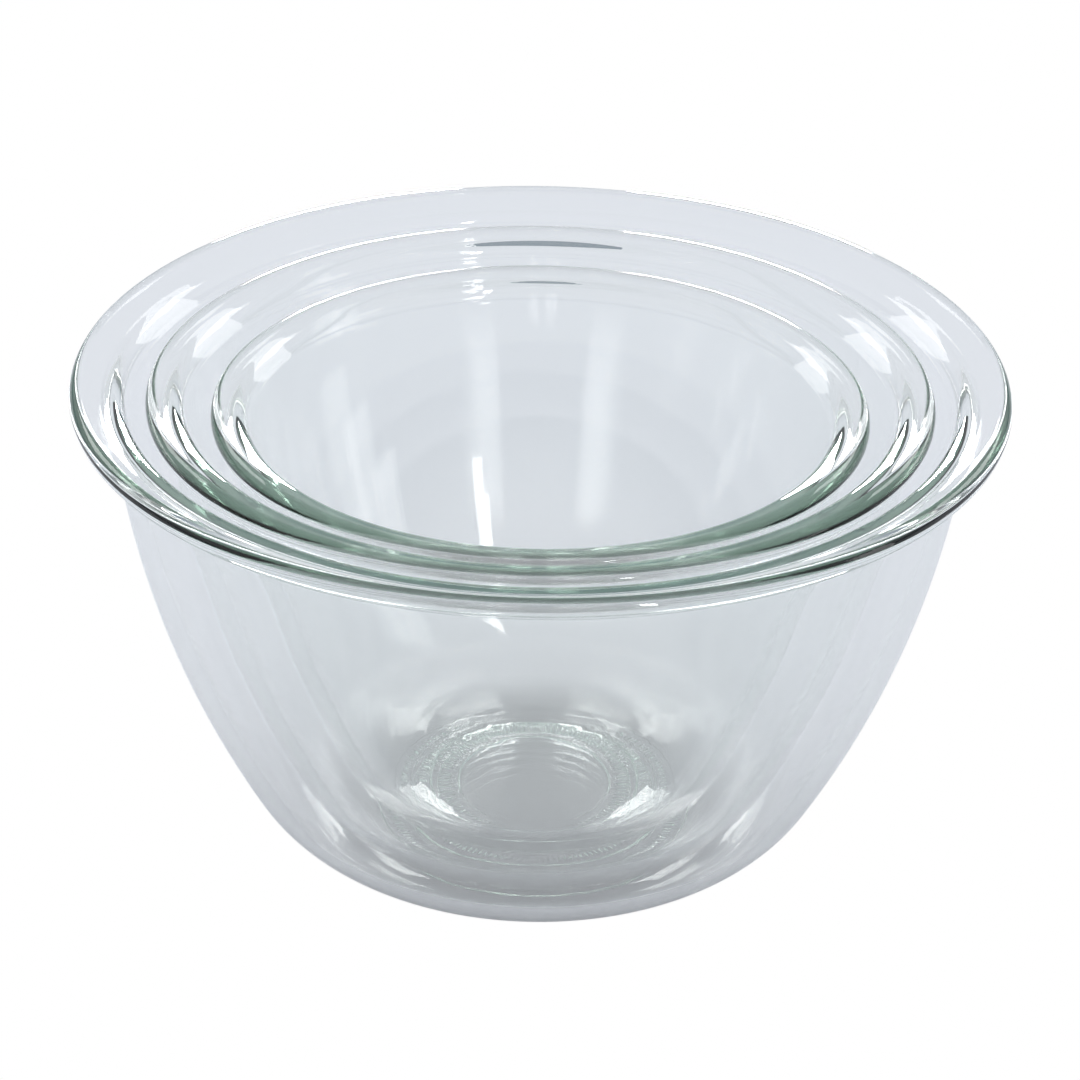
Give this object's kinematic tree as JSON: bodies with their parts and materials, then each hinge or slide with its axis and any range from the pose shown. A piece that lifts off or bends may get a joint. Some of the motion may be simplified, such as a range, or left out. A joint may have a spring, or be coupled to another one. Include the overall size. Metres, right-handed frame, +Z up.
{
  "type": "mixing bowl set",
  "caption": "Nest of round clear pressed-glass mixing bowls with beaded, flared rims and low foot rings; each bowl lifts out of the one around it.",
  "frame": {"origin": "centre of the large bowl's foot ring, at table level", "axes": "+Z up along the common axis of the bowls; X and Y lie in the table, and any direction in it is the same"},
  "size_m": [0.23, 0.23, 0.125],
  "materials": {
    "clear_glass": "fire-polished clear pressed glass with a faint green tint at its thick edges"
  },
  "bodies": {
    "large": {"large_bowl": "clear_glass"},
    "medium": {"medium_bowl": "clear_glass"},
    "small": {"small_bowl": "clear_glass"}
  },
  "joints": [
    {"name": "lift_medium", "type": "slide", "parent": "large", "child": "medium", "axis": [0, 0, 1], "range_m": [0, 0.125]},
    {"name": "lift_small", "type": "slide", "parent": "medium", "child": "small", "axis": [0, 0, 1], "range_m": [0, 0.115]}
  ]
}
